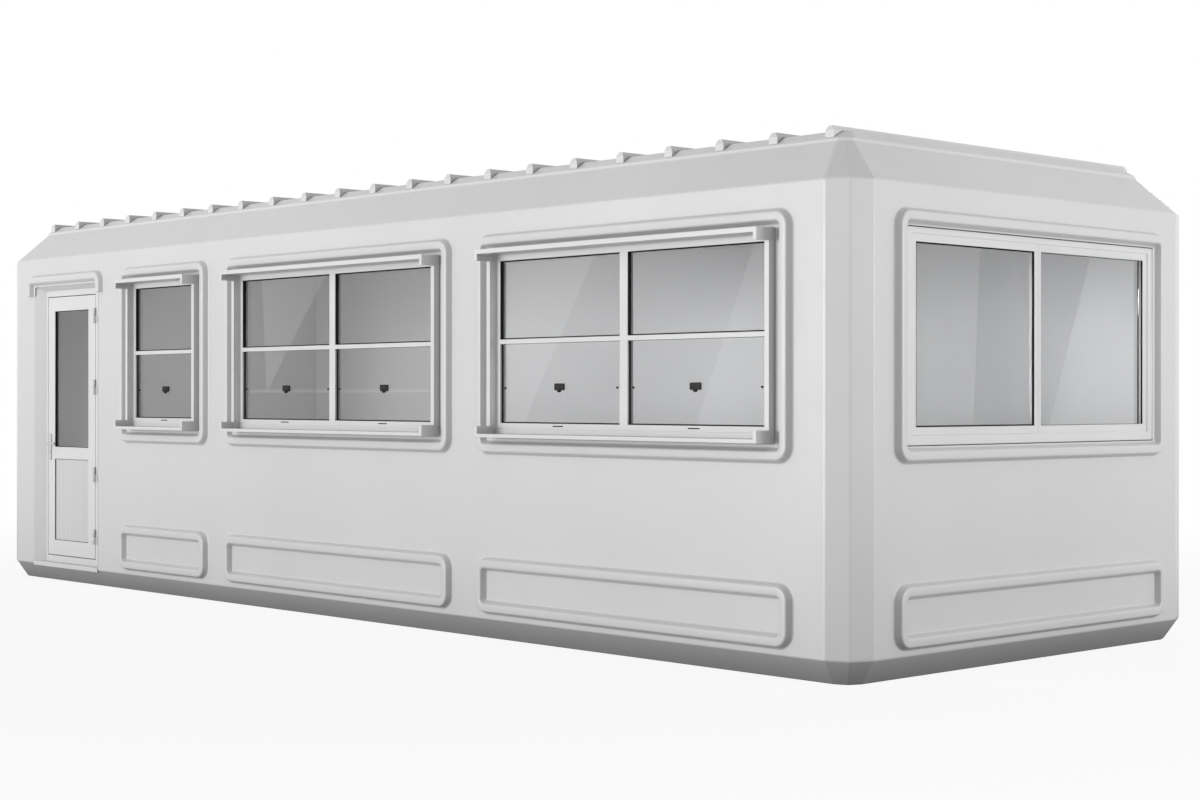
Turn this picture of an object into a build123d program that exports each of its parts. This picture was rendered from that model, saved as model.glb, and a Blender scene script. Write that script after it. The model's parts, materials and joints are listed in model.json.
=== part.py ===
from build123d import *
import os
from math import cos, radians

# A moulded glass-fibre kiosk cabin in millimetres. X runs along the long wall, with the
# door near its low end. The front faces -Y and Z points up. The origin is on the ground
# under the middle of the plan.

# Shell
LENGTH = 8400
WIDTH = 3000
WALL = 75
CORNER_CUT = 167
BASE_TOP = 122
BASE_INSET = 83
BASE_CUT = 95
WALL_TOP = 2408
BAND_HEIGHT = 205
BAND_INSET = 205
BAND_CREST = 50
EAVE_CUT = 58
EAVE_LIP = 15
ROOF_RISE = 42
ROOF_INSET = 55
FLOOR_BOARD = 15

# Roof ribs
RIB_PITCH = 370
RIB_BASE = 60
RIB_TOP = 30
RIB_HEIGHT = 24
RIB_END_SLOPE = 8
RIB_SETBACK = 6

# Raised beads moulded round the windows and the low panels
BEAD_RISE = 38
BEAD_DRAFT_OUT = 15
BEAD_FACE = 43
BEAD_DRAFT_IN = 17
BEAD_CORNER = 85
BEAD_INNER_CORNER = 12
UPPER_BEAD_LOW = 1050
UPPER_BEAD_DROP = 123
LOW_BEAD_LIFT = 29
LOW_BEAD_HEIGHT = 319

# Along the long wall from the door's end: doorway, narrow bay, and two wide bays, which
# share what is left of the wall. The rings of the end and back walls fill theirs.
DOOR_INSET = 425
DOOR_WIDTH = 957
DOOR_TO_BAY = 333
NARROW_BEAD = 1134
NARROW_GAP = 221
BAY_GAP = 235
LAST_MARGIN = 198
END_MARGIN = 150

# Projecting window boxes
BOX_SIDE_CLEARANCE = 44
BOX_HEAD_CLEARANCE = 17
BOX_FOOT_CLEARANCE = 22
BOX_REACH = 131
BOX_HEAD = 26
BOX_SHELF = 20
JAMB_REACH = 40
JAMB = 30
LEG = 24
LEG_HEIGHT = 62

# Window frames and glass
FRAME_SETBACK = 5
FRAME_DEPTH = 45
STILE = 35
SUB_SILL = 28
SUB_SILL_STEP = 4
BOTTOM_RAIL = 31
MULLION = 60
LOWER_PANE = 441
TRANSOM = 26
GLASS = 8
GLASS_SETBACK = 16
LATCH_WIDTH = 76
LATCH_HEIGHT = 38
LATCH_DEPTH = 10
LATCH_CORNER = 14
LATCH_DROP = 20
KNOB_RADIUS = 11
KNOB_DEPTH = 16

# Sliding window in the right end wall
SLIDER_CLEARANCE = 17
SLIDER_FRAME = 43
SLIDER_SILL = 60
SASH = 40
SASH_DEPTH = 20
SASH_OVERLAP = 32
TRACK_GAP = 3

# Doorway and its splayed surround
DOOR_SPLAY = 75
DOOR_HEAD_SPLAY = 42
DOOR_RECESS = 60
HOOD_DROP = 155
SILL_NOSE = 32
SILL_REACH = 6

# Door frame and leaf
FRAME_LATCH_SIDE = 25
FRAME_HINGE_SIDE = 67
FRAME_HEAD = 45
FRAME_FOOT = 48
DOOR_GAP = 5
STOP_LIP = 15
STOP_DEPTH = 20
LEAF_DEPTH = 45
LEAF_STILE = 103
LEAF_TOP_RAIL = 105
LEAF_BOTTOM_RAIL = 112
LEAF_PANEL_HEIGHT = 607
LEAF_MIDDLE_RAIL = 90
DOOR_GLASS = 20
DOOR_PANEL = 28

# Handle and hinges
PLATE_WIDTH = 32
PLATE_CORNER = 6
PLATE_BELOW = 122
PLATE_ABOVE = 73
PLATE_DEPTH = 8
PLATE_INSET = 40
LOCK_DROP = 64
LOCK_RADIUS = 8.5
LOCK_REACH = 4
LEVER_LIFT = 832
LEVER_LENGTH = 132
LEVER_NECK = 8
LEVER_WIDTH = 20
LEVER_DEPTH = 12
LEVER_STANDOFF = 38
LEVER_CLEARANCE = 0.1
LEVER_END_GAP = 2
HINGES_FROM_FOOT = (162, 616)
HINGES_FROM_HEAD = (674, 154)
HINGE_LENGTH = 108
HINGE_RADIUS = 10
HINGE_OUT = 12
PIN_RADIUS = 5
PIN_CLEARANCE = 0.1
KNUCKLE_GAP = 0.6
HINGE_PLATE = 3
HINGE_REACH = 32

HALF_X = LENGTH / 2
HALF_Y = WIDTH / 2
FLAT_X = HALF_X - CORNER_CUT
FLAT_Y = HALF_Y - CORNER_CUT
EAVE = WALL_TOP + BAND_HEIGHT
ROOF_LOW = EAVE + EAVE_LIP
ROOF_FACE = ROOF_LOW + ROOF_RISE
FOLD_SHARE = 1 - cos(radians(45))
BEAD_BASE = BEAD_DRAFT_OUT + BEAD_FACE + BEAD_DRAFT_IN
UPPER_BEAD_HIGH = WALL_TOP - UPPER_BEAD_DROP
LOW_BEAD_LOW = BASE_TOP + LOW_BEAD_LIFT
LOW_BEAD_HIGH = LOW_BEAD_LOW + LOW_BEAD_HEIGHT
BEAD_LEVELS = ((UPPER_BEAD_LOW, UPPER_BEAD_HIGH), (LOW_BEAD_LOW, LOW_BEAD_HIGH))
BOX_LOW = UPPER_BEAD_LOW + BEAD_BASE + BOX_FOOT_CLEARANCE
BOX_HIGH = UPPER_BEAD_HIGH - BEAD_BASE - BOX_HEAD_CLEARANCE
END_BEAD = 2 * (FLAT_Y - END_MARGIN)
SLIDER_HALF = END_BEAD / 2 - BEAD_BASE - SLIDER_CLEARANCE
SLIDER_LOW = UPPER_BEAD_LOW + BEAD_BASE
SLIDER_HIGH = UPPER_BEAD_HIGH - BEAD_BASE
DOOR_LEFT = -HALF_X + DOOR_INSET
DOOR_RIGHT = DOOR_LEFT + DOOR_WIDTH
DOOR_TOP = UPPER_BEAD_HIGH - BEAD_BASE
SILL_TOP = BASE_TOP + FLOOR_BOARD
THROAT_LEFT = DOOR_LEFT + DOOR_SPLAY
THROAT_RIGHT = DOOR_RIGHT - DOOR_SPLAY
THROAT_TOP = DOOR_TOP - DOOR_HEAD_SPLAY
LEAF_LEFT = THROAT_LEFT + FRAME_LATCH_SIDE + DOOR_GAP
LEAF_RIGHT = THROAT_RIGHT - FRAME_HINGE_SIDE - DOOR_GAP
LEAF_LOW = SILL_TOP + FRAME_FOOT + DOOR_GAP
LEAF_HIGH = THROAT_TOP - FRAME_HEAD - DOOR_GAP
LEVER_X = LEAF_LEFT + PLATE_INSET
LEVER_HEIGHT = LEAF_LOW + LEVER_LIFT

FRONT = Plane(origin=(0, -HALF_Y, 0), x_dir=(1, 0, 0), z_dir=(0, -1, 0))
BACK = Plane(origin=(0, HALF_Y, 0), x_dir=(-1, 0, 0), z_dir=(0, 1, 0))
RIGHT = Plane(origin=(HALF_X, 0, 0), x_dir=(0, 1, 0), z_dir=(1, 0, 0))
LEFT = Plane(origin=(-HALF_X, 0, 0), x_dir=(0, -1, 0), z_dir=(-1, 0, 0))

nodes = {}


def front_bays():
    """Centre, ring width and number of window columns of each bay of the front."""
    narrow_left = DOOR_RIGHT + DOOR_TO_BAY
    narrow_right = narrow_left + NARROW_BEAD
    wide_left = narrow_right + NARROW_GAP
    wide = (FLAT_X - LAST_MARGIN - wide_left - BAY_GAP) / 2
    middle = wide_left + wide / 2
    return (
        ((narrow_left + narrow_right) / 2, NARROW_BEAD, 1),
        (middle, wide, 2),
        (middle + wide + BAY_GAP, wide, 2),
    )


def block(x0, x1, y0, y1, z0, z1):
    """A plain block between two corners."""
    size = (x1 - x0, y1 - y0, z1 - z0)
    centre = ((x0 + x1) / 2, (y0 + y1) / 2, (z0 + z1) / 2)
    return Pos(*centre) * Box(*size)


def on_wall(wall, x0, x1, z0, z1, inner, outer):
    """A block on a wall: x along it, z up, from inner to outer along its normal."""
    return wall * block(x0, x1, z0, z1, inner, outer)


def outline_face(points):
    return make_face(Polyline(*points, close=True)).faces()[0]


def tapered(lower, upper):
    """The solid with flat sides between two outlines that have as many points each."""
    faces = [outline_face(lower), outline_face(upper)]
    for index, start in enumerate(lower):
        after = (index + 1) % len(lower)
        faces.append(outline_face([start, lower[after], upper[after], upper[index]]))
    return Solid(Shell(faces))


def rectangle(x0, x1, y0, y1, z):
    return [(x0, y0, z), (x1, y0, z), (x1, y1, z), (x0, y1, z)]


def plan(inset, cut, z, folded=True):
    """The outline of the cabin's plan at height z. Its corners are cut in two facets,
    or in one where folded is False."""
    hx = HALF_X - inset
    hy = HALF_Y - inset
    fold = cut * FOLD_SHARE
    points = []
    for sx, sy in ((1, -1), (1, 1), (-1, 1), (-1, -1)):
        on_side = (sx * hx, sy * (hy - cut), z)
        on_fold = (sx * (hx - fold), sy * (hy - fold), z)
        on_end = (sx * (hx - cut), sy * hy, z)
        corner = [on_end, on_fold, on_side] if folded else [on_end, on_side]
        points += corner if sx * sy < 0 else corner[::-1]
    return points


def bead(wall, centre, width, low, high):
    """A raised rounded ring on a wall, with drafted sides."""
    place = wall * Pos(centre, (low + high) / 2, 0)

    def rounded(inset, rise):
        radius = max(BEAD_CORNER - inset, BEAD_INNER_CORNER)
        sketch = RectangleRounded(width - 2 * inset, high - low - 2 * inset, radius)
        return Pos(0, 0, rise) * sketch

    crest = BEAD_DRAFT_OUT + BEAD_FACE
    outside = loft([rounded(0, 0), rounded(BEAD_DRAFT_OUT, BEAD_RISE)], ruled=True)
    hollow = loft([rounded(BEAD_BASE, 0), rounded(crest, BEAD_RISE)], ruled=True)
    return place * (outside - hollow)


def make_base():
    """The foam-filled moulded base with its sloped skirt, and the floor board on it."""
    nodes["base_tray"] = tapered(
        plan(BASE_INSET, BASE_CUT, 0), plan(0, CORNER_CUT, BASE_TOP))
    board = outline_face(plan(WALL, CORNER_CUT - WALL, BASE_TOP, folded=False))
    nodes["floor_panel"] = extrude(board, FLOOR_BOARD, dir=(0, 0, 1))


def make_corners():
    """The four corner pieces with two upright facets outside and one inside."""
    fold = CORNER_CUT * FOLD_SHARE
    points = [
        (HALF_X, FLAT_Y),
        (HALF_X - fold, HALF_Y - fold),
        (FLAT_X, HALF_Y),
        (FLAT_X, HALF_Y - WALL),
        (HALF_X - WALL, FLAT_Y),
    ]
    corners = []
    for sx, sy in ((1, 1), (-1, 1), (-1, -1), (1, -1)):
        face = outline_face([(sx * x, sy * y, BASE_TOP) for x, y in points])
        corners.append(extrude(face, WALL_TOP - BASE_TOP, dir=(0, 0, 1)))
    nodes["wall_corners"] = corners


def make_walls():
    """The flat walls between the corner pieces, cut for the doorway and the windows."""
    low, high = BASE_TOP, WALL_TOP
    nodes["front_wall_left"] = on_wall(FRONT, -FLAT_X, DOOR_LEFT, low, high, -WALL, 0)
    nodes["front_wall_over_door"] = on_wall(
        FRONT, DOOR_LEFT, DOOR_RIGHT, DOOR_TOP, high, -WALL, 0)
    windows = on_wall(FRONT, DOOR_RIGHT, FLAT_X, low, high, -WALL, 0)
    for centre, ring, _ in front_bays():
        half = box_width(ring) / 2
        windows -= on_wall(
            FRONT, centre - half, centre + half, BOX_LOW, BOX_HIGH, -WALL, 0)
    nodes["front_wall_windows"] = windows
    nodes["back_wall"] = on_wall(BACK, -FLAT_X, FLAT_X, low, high, -WALL, 0)
    nodes["left_wall"] = on_wall(LEFT, -FLAT_Y, FLAT_Y, low, high, -WALL, 0)
    right = on_wall(RIGHT, -FLAT_Y, FLAT_Y, low, high, -WALL, 0)
    right -= on_wall(
        RIGHT, -SLIDER_HALF, SLIDER_HALF, SLIDER_LOW, SLIDER_HIGH, -WALL, 0)
    nodes["right_wall"] = right


def box_width(ring):
    """How wide the window box is inside a ring of that width."""
    return ring - 2 * (BEAD_BASE + BOX_SIDE_CLEARANCE)


def make_band():
    """The sloped band over the walls: four straight sides and the corners between."""
    crest_inset = BAND_INSET + BAND_CREST
    walls = {
        "front": (FRONT, HALF_X),
        "back": (BACK, HALF_X),
        "right": (RIGHT, HALF_Y),
        "left": (LEFT, HALF_Y),
    }
    for side, (wall, half) in walls.items():
        low = half - CORNER_CUT
        high = half - BAND_INSET - EAVE_CUT
        foot = [(-low, WALL_TOP, 0), (low, WALL_TOP, 0),
                (low, WALL_TOP, -WALL), (-low, WALL_TOP, -WALL)]
        crest = [(-high, EAVE, -BAND_INSET), (high, EAVE, -BAND_INSET),
                 (high, EAVE, -crest_inset), (-high, EAVE, -crest_inset)]
        nodes["roof_band_" + side] = wall * tapered(foot, crest)

    def corner(inset, cut, thickness, z):
        """One corner's outline: two facets outside, and one flat inside."""
        hx, hy = HALF_X - inset, HALF_Y - inset
        fold = cut * FOLD_SHARE
        return [(hx - cut, -hy, z), (hx - fold, fold - hy, z), (hx, cut - hy, z),
                (hx - thickness, cut - hy, z), (hx - cut, thickness - hy, z)]

    first = tapered(corner(0, CORNER_CUT, WALL, WALL_TOP),
                    corner(BAND_INSET, EAVE_CUT, BAND_CREST, EAVE))
    pair = [first, first.mirror(Plane.YZ)]
    nodes["roof_corners"] = pair + [solid.mirror(Plane.XZ) for solid in pair]


def make_roof():
    """The roof with its vertical edge strip and sloped rim, and the ribs across it."""
    roof = tapered(plan(BAND_INSET, EAVE_CUT, EAVE), plan(BAND_INSET, EAVE_CUT, ROOF_LOW))
    roof += tapered(
        plan(BAND_INSET, EAVE_CUT, ROOF_LOW),
        plan(BAND_INSET + ROOF_INSET, EAVE_CUT, ROOF_FACE))
    roof_length = 2 * (HALF_X - BAND_INSET - ROOF_INSET)
    gaps = int((roof_length - RIB_BASE) // RIB_PITCH)
    first = -RIB_PITCH * gaps / 2
    nodes["roof_cap"] = roof
    nodes["roof_ribs"] = [
        roof_rib(first + index * RIB_PITCH, roof) for index in range(gaps + 1)]


def roof_rib(x, roof):
    """One stiffening rib across the roof. Its ends run out over the sloped rim."""
    reach = HALF_Y - BAND_INSET - RIB_SETBACK
    crest = reach - RIB_END_SLOPE
    foot_half, top_half = RIB_BASE / 2, RIB_TOP / 2
    foot = rectangle(x - foot_half, x + foot_half, -reach, reach, ROOF_FACE)
    rib = tapered(
        foot, rectangle(x - top_half, x + top_half, -crest, crest, ROOF_FACE + RIB_HEIGHT))
    root = rectangle(x - foot_half, x + foot_half, -reach, reach, ROOF_LOW)
    return rib + tapered(root, foot) - roof


def make_beads():
    """The raised rings of every wall. Blank walls carry them with nothing inside."""
    nodes["front_wall_beads"] = [
        bead(FRONT, centre, width, *levels)
        for centre, width, _ in front_bays()
        for levels in BEAD_LEVELS
    ]
    ends = {"right_wall_beads": RIGHT, "left_wall_beads": LEFT}
    for name, wall in ends.items():
        nodes[name] = [bead(wall, 0, END_BEAD, *levels) for levels in BEAD_LEVELS]
    width = (2 * (FLAT_X - LAST_MARGIN) - 2 * BAY_GAP) / 3
    pitch = width + BAY_GAP
    nodes["back_wall_beads"] = [
        bead(BACK, centre, width, *levels)
        for centre in (-pitch, 0, pitch)
        for levels in BEAD_LEVELS
    ]


def make_window(number, centre, width, column_count):
    """One front window: its projecting box, frame and glass. Returns its latches."""
    left, right = centre - width / 2, centre + width / 2
    head = BOX_HIGH - BOX_HEAD
    shelf = BOX_LOW + BOX_SHELF
    box = on_wall(FRONT, left, right, head, BOX_HIGH, -WALL, BOX_REACH)
    box += on_wall(FRONT, left, right, BOX_LOW, shelf, -WALL, BOX_REACH)
    for start in (left, right - JAMB):
        box += on_wall(FRONT, start, start + JAMB, shelf, head, -WALL, JAMB_REACH)
    for start in (left, right - LEG):
        end = start + LEG
        top = BOX_HIGH - LEG_HEIGHT
        bottom = BOX_LOW + LEG_HEIGHT
        box += on_wall(FRONT, start, end, top, head, JAMB_REACH, BOX_REACH)
        box += on_wall(FRONT, start, end, shelf, bottom, JAMB_REACH, BOX_REACH)
    nodes[f"window_{number}_box"] = box

    left += JAMB
    right -= JAMB
    back = -FRAME_SETBACK - FRAME_DEPTH
    frame = on_wall(FRONT, left, right, shelf, head, back, -FRAME_SETBACK)
    glass_low = shelf + SUB_SILL + BOTTOM_RAIL
    sill_face = -FRAME_SETBACK + SUB_SILL_STEP
    frame += on_wall(
        FRONT, left, right, shelf, shelf + SUB_SILL, -FRAME_SETBACK, sill_face)
    transom = glass_low + LOWER_PANE
    rows = ((glass_low, transom), (transom + TRANSOM, head - STILE))
    face = -FRAME_SETBACK - GLASS_SETBACK
    panes = []
    latches = []
    for x0, x1 in pane_columns(left + STILE, right - STILE, column_count):
        for z0, z1 in rows:
            frame -= on_wall(FRONT, x0, x1, z0, z1, back, -FRAME_SETBACK)
            panes.append(on_wall(FRONT, x0, x1, z0, z1, face - GLASS, face))
        middle = (glass_low + transom) / 2
        latches.append(latch((x0 + x1) / 2, middle - LATCH_DROP, face))
    nodes[f"window_{number}_frame"] = frame
    nodes[f"window_{number}_glass"] = panes
    return latches


def pane_columns(left, right, count):
    """Where each column of panes starts and ends, with mullions between them."""
    width = (right - left - MULLION * (count - 1)) / count
    starts = [left + index * (width + MULLION) for index in range(count)]
    return [(start, start + width) for start in starts]


def latch(x, z, face):
    """A latch on the glass: a flat case with a turning knob at its foot."""
    place = FRONT * Pos(x, z, face)
    half = LATCH_WIDTH / 2
    low = -LATCH_HEIGHT / 2
    outline = [(-half, -low), (half, -low), (half, low + LATCH_CORNER),
               (half - LATCH_CORNER, low), (LATCH_CORNER - half, low),
               (-half, low + LATCH_CORNER)]
    case = extrude(make_face(Polyline(*outline, close=True)), LATCH_DEPTH)
    knob = Pos(0, -LATCH_HEIGHT / 2, KNOB_DEPTH / 2) * Cylinder(KNOB_RADIUS, KNOB_DEPTH)
    return place * (case + knob)


def make_windows():
    latches = []
    for number, (centre, ring, columns) in enumerate(front_bays(), start=1):
        latches += make_window(number, centre, box_width(ring), columns)
    nodes["window_latches"] = latches


def make_slider():
    """The two-pane sliding window of the right end wall."""
    half = SLIDER_HALF
    back = -FRAME_SETBACK - FRAME_DEPTH
    sill = SLIDER_LOW + SLIDER_SILL
    head = SLIDER_HIGH - SLIDER_FRAME
    side = half - SLIDER_FRAME
    frame = on_wall(RIGHT, -half, half, SLIDER_LOW, SLIDER_HIGH, back, -FRAME_SETBACK)
    frame -= on_wall(RIGHT, -side, side, sill, head, back, -FRAME_SETBACK)
    nodes["right_window_frame"] = frame
    sashes = []
    panes = []
    front_track = -FRAME_SETBACK - TRACK_GAP / 2
    rear_track = front_track - SASH_DEPTH - TRACK_GAP
    for x0, x1, face in (
        (-side, SASH_OVERLAP / 2, front_track),
        (-SASH_OVERLAP / 2, side, rear_track),
    ):
        sash = on_wall(RIGHT, x0, x1, sill, head, face - SASH_DEPTH, face)
        pane = (x0 + SASH, x1 - SASH, sill + SASH, head - SASH)
        sash -= on_wall(RIGHT, *pane, face - SASH_DEPTH, face)
        middle = face - SASH_DEPTH / 2
        sashes.append(sash)
        panes.append(on_wall(RIGHT, *pane, middle - GLASS / 2, middle + GLASS / 2))
    nodes["right_window_sashes"] = sashes
    nodes["right_window_glass"] = panes


def make_doorway():
    """The splayed surround, the sill, and the door frame with the stop behind its leaf."""
    back = -DOOR_RECESS - LEAF_DEPTH - DOOR_GAP - STOP_DEPTH
    surround = on_wall(FRONT, DOOR_LEFT, DOOR_RIGHT, SILL_TOP, DOOR_TOP, back, 0)
    surround -= on_wall(FRONT, THROAT_LEFT, THROAT_RIGHT, SILL_TOP, THROAT_TOP, back, 0)
    throat = rectangle(THROAT_LEFT, THROAT_RIGHT, SILL_TOP, THROAT_TOP, -DOOR_RECESS)
    mouth = rectangle(DOOR_LEFT, DOOR_RIGHT, SILL_TOP, DOOR_TOP, 0)
    surround -= FRONT * tapered(throat, mouth)
    nodes["door_surround"] = surround

    nose_low = SILL_TOP - SILL_NOSE
    skirt_back = BASE_INSET / BASE_TOP * (BASE_TOP - nose_low)
    profile = [
        (-HALF_Y - SILL_REACH, nose_low),
        (-HALF_Y + skirt_back, nose_low),
        (-HALF_Y, BASE_TOP),
        (-HALF_Y + WALL, BASE_TOP),
        (-HALF_Y + WALL, SILL_TOP),
        (-HALF_Y - SILL_REACH, SILL_TOP),
    ]
    section = outline_face([(DOOR_LEFT, y, z) for y, z in profile])
    nodes["door_sill"] = extrude(section, DOOR_WIDTH, dir=(1, 0, 0))

    frame = on_wall(FRONT, THROAT_LEFT, THROAT_RIGHT, SILL_TOP, THROAT_TOP,
                    back, -DOOR_RECESS)
    nodes["door_frame"] = frame - around_leaf(DOOR_GAP, back, -DOOR_RECESS)
    stop = around_leaf(DOOR_GAP, back, back + STOP_DEPTH)
    nodes["door_stop"] = stop - around_leaf(-STOP_LIP, back, back + STOP_DEPTH)


def make_hood():
    """The hood over the doorway: the beads' section bent round its head."""
    left, right = DOOR_LEFT - BEAD_BASE, DOOR_RIGHT + BEAD_BASE
    foot, head = UPPER_BEAD_HIGH - HOOD_DROP, UPPER_BEAD_HIGH
    path = FilletPolyline((left, foot), (left, head), (right, head), (right, foot),
                          radius=BEAD_CORNER)
    profile = [(0, 0), (BEAD_BASE, 0), (BEAD_DRAFT_OUT + BEAD_FACE, BEAD_RISE),
               (BEAD_DRAFT_OUT, BEAD_RISE)]
    section = Plane(origin=(left, foot, 0), x_dir=(1, 0, 0), z_dir=(0, -1, 0))
    nodes["door_hood"] = FRONT * sweep(section * outline_face(profile), path)


def around_leaf(margin, inner, outer):
    """A block as large as the leaf and that much more all round."""
    return on_wall(FRONT, LEAF_LEFT - margin, LEAF_RIGHT + margin,
                   LEAF_LOW - margin, LEAF_HIGH + margin, inner, outer)


def make_leaf():
    """The glazed leaf with its lower panel."""
    face = -DOOR_RECESS
    back = face - LEAF_DEPTH
    middle = face - LEAF_DEPTH / 2
    inner = (LEAF_LEFT + LEAF_STILE, LEAF_RIGHT - LEAF_STILE)
    panel_low = LEAF_LOW + LEAF_BOTTOM_RAIL
    panel_high = panel_low + LEAF_PANEL_HEIGHT
    window = (*inner, panel_high + LEAF_MIDDLE_RAIL, LEAF_HIGH - LEAF_TOP_RAIL)
    panel = (*inner, panel_low, panel_high)
    leaf = around_leaf(0, back, face)
    leaf -= on_wall(FRONT, *window, back, face)
    leaf -= on_wall(FRONT, *panel, back, face)
    nodes["door_leaf"] = leaf
    nodes["door_glass"] = on_wall(
        FRONT, *window, middle - DOOR_GLASS / 2, middle + DOOR_GLASS / 2)
    nodes["door_panel"] = on_wall(
        FRONT, *panel, middle - DOOR_PANEL / 2, middle + DOOR_PANEL / 2)


def make_handle():
    """The handle's back plate with the lock under the lever, and the flat lever."""
    face = FRONT * Pos(LEVER_X, LEVER_HEIGHT, -DOOR_RECESS)
    sketch = Rectangle(PLATE_WIDTH, PLATE_BELOW + PLATE_ABOVE)
    sketch = chamfer(sketch.vertices(), PLATE_CORNER)
    plate = Pos(0, (PLATE_ABOVE - PLATE_BELOW) / 2, 0) * extrude(sketch, PLATE_DEPTH)
    lock_depth = PLATE_DEPTH + LOCK_REACH
    plate += Pos(0, -LOCK_DROP, lock_depth / 2) * Cylinder(LOCK_RADIUS, lock_depth)
    plate -= Cylinder(LEVER_NECK + LEVER_CLEARANCE, 2 * PLATE_DEPTH)
    nodes["door_handle_plate"] = face * plate

    out = PLATE_DEPTH + LEVER_STANDOFF
    neck = Pos(0, 0, (out + LEVER_END_GAP) / 2) * Cylinder(
        LEVER_NECK, out - LEVER_END_GAP)
    grip = SlotCenterToCenter(LEVER_LENGTH, LEVER_WIDTH)
    grip = Pos(LEVER_LENGTH / 2, 0, out) * extrude(grip, LEVER_DEPTH)
    nodes["door_lever"] = face * (neck + grip)


def make_hinges():
    """Four lift-off hinges: the leaf's knuckles turn on pins that the frame carries."""
    axis_x = LEAF_RIGHT + DOOR_GAP / 2
    half = HINGE_LENGTH / 2
    heights = [LEAF_LOW + lift for lift in HINGES_FROM_FOOT]
    heights += [LEAF_HIGH - drop for drop in HINGES_FROM_HEAD]
    turning = []
    fixed = []
    for height in heights:
        top = (height + KNUCKLE_GAP, height + half)
        knuckle = hinge_barrel(axis_x, *top, HINGE_RADIUS)
        knuckle += hinge_leaf(axis_x - HINGE_REACH, LEAF_RIGHT, *top)
        knuckle += hinge_neck(axis_x - HINGE_RADIUS, axis_x, *top)
        knuckle -= hinge_barrel(axis_x, *top, PIN_RADIUS + PIN_CLEARANCE)
        turning.append(knuckle)
        foot = (height - half, height - KNUCKLE_GAP)
        holder = hinge_barrel(axis_x, *foot, HINGE_RADIUS)
        holder += hinge_barrel(axis_x, height - half, height + half, PIN_RADIUS)
        holder += hinge_leaf(LEAF_RIGHT + DOOR_GAP, axis_x + HINGE_REACH, *foot)
        holder += hinge_neck(axis_x, axis_x + HINGE_RADIUS, *foot)
        fixed.append(holder)
    nodes["door_hinge_knuckles"] = turning
    nodes["door_hinge_pins"] = fixed


def hinge_barrel(x, low, high, radius):
    place = Pos(x, -HALF_Y + DOOR_RECESS - HINGE_OUT, (low + high) / 2)
    return place * Cylinder(radius, high - low)


def hinge_leaf(x0, x1, low, high):
    """The thin plate that is screwed on the face of the leaf or the frame."""
    return on_wall(FRONT, x0, x1, low, high, -DOOR_RECESS, -DOOR_RECESS + HINGE_PLATE)


def hinge_neck(x0, x1, low, high):
    """What joins a hinge's plate to its barrel."""
    return on_wall(FRONT, x0, x1, low, high,
                   -DOOR_RECESS + HINGE_PLATE, -DOOR_RECESS + HINGE_OUT)


def write_nodes():
    os.makedirs("parts", exist_ok=True)
    for name, shape in nodes.items():
        solid = Compound(children=shape) if isinstance(shape, list) else shape
        export_step(solid, os.path.join("parts", name + ".step"))


make_base()
make_corners()
make_walls()
make_band()
make_roof()
make_beads()
make_windows()
make_slider()
make_doorway()
make_hood()
make_leaf()
make_handle()
make_hinges()
write_nodes()
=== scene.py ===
# %% [markdown]
# # A moulded kiosk cabin, dressed for its photograph
# The object is a small building moulded in glass fibre: a long box with cut corners,
# a sloped band under a ribbed roof, raised rings on its walls and white plastic windows.
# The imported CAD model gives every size. This lesson adds what CAD leaves plain: soft
# folds, seals, seams, screws and finishes.

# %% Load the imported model
import json
import math

import bmesh
import bpy
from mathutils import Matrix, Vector


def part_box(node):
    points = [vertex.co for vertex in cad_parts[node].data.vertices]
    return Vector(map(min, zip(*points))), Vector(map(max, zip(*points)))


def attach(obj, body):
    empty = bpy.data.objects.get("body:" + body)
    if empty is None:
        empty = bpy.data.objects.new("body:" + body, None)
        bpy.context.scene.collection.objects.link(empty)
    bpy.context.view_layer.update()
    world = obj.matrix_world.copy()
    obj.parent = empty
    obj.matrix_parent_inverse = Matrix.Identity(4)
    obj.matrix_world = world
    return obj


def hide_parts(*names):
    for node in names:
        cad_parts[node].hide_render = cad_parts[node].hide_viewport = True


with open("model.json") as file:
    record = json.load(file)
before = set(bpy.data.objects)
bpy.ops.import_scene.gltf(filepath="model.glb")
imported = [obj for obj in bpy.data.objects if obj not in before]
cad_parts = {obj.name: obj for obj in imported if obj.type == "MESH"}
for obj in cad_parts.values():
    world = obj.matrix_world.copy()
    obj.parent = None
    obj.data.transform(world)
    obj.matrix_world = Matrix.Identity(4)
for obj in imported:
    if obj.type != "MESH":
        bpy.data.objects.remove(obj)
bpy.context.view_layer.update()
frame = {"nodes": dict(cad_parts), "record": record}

nodes = frame["nodes"]

# %% [markdown]
# ## The camera
# The photograph looks along the ground at the corner between the long front and the
# right end. Fitting the vanishing points of its straight edges gives a level camera at
# eye height with a lens of about 61 mm. A tiny vertical shift puts the horizon on the
# photograph's own row, so no line has to lean.

# %% Camera
EYE = (10.2986, -8.8251, 1.3645)
TURN = 0.8181
ROLL = -0.0007
LENS = 60.65
HORIZON_SHIFT = -0.0014

camera = bpy.data.objects.new("camera", bpy.data.cameras.new("camera"))
camera.location = EYE
camera.rotation_euler = (math.radians(90), ROLL, TURN)
camera.data.lens = LENS
camera.data.shift_y = HORIZON_SHIFT
bpy.context.scene.collection.objects.link(camera)
bpy.context.scene.camera = camera
bpy.context.scene.view_settings.view_transform = "Standard"
print("camera at", EYE, "lens", LENS)

# %% [markdown]
# ## Node materials
# Every finish here is a Principled shader with a few texture nodes on it. They all read
# Object coordinates. The nodes' objects sit at the origin, so those are metres, and a
# grain of 3 mm has the same size on a latch as on a wall.

# %% Helpers for materials


def principled(material):
    return material.node_tree.nodes["Principled BSDF"]


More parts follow.
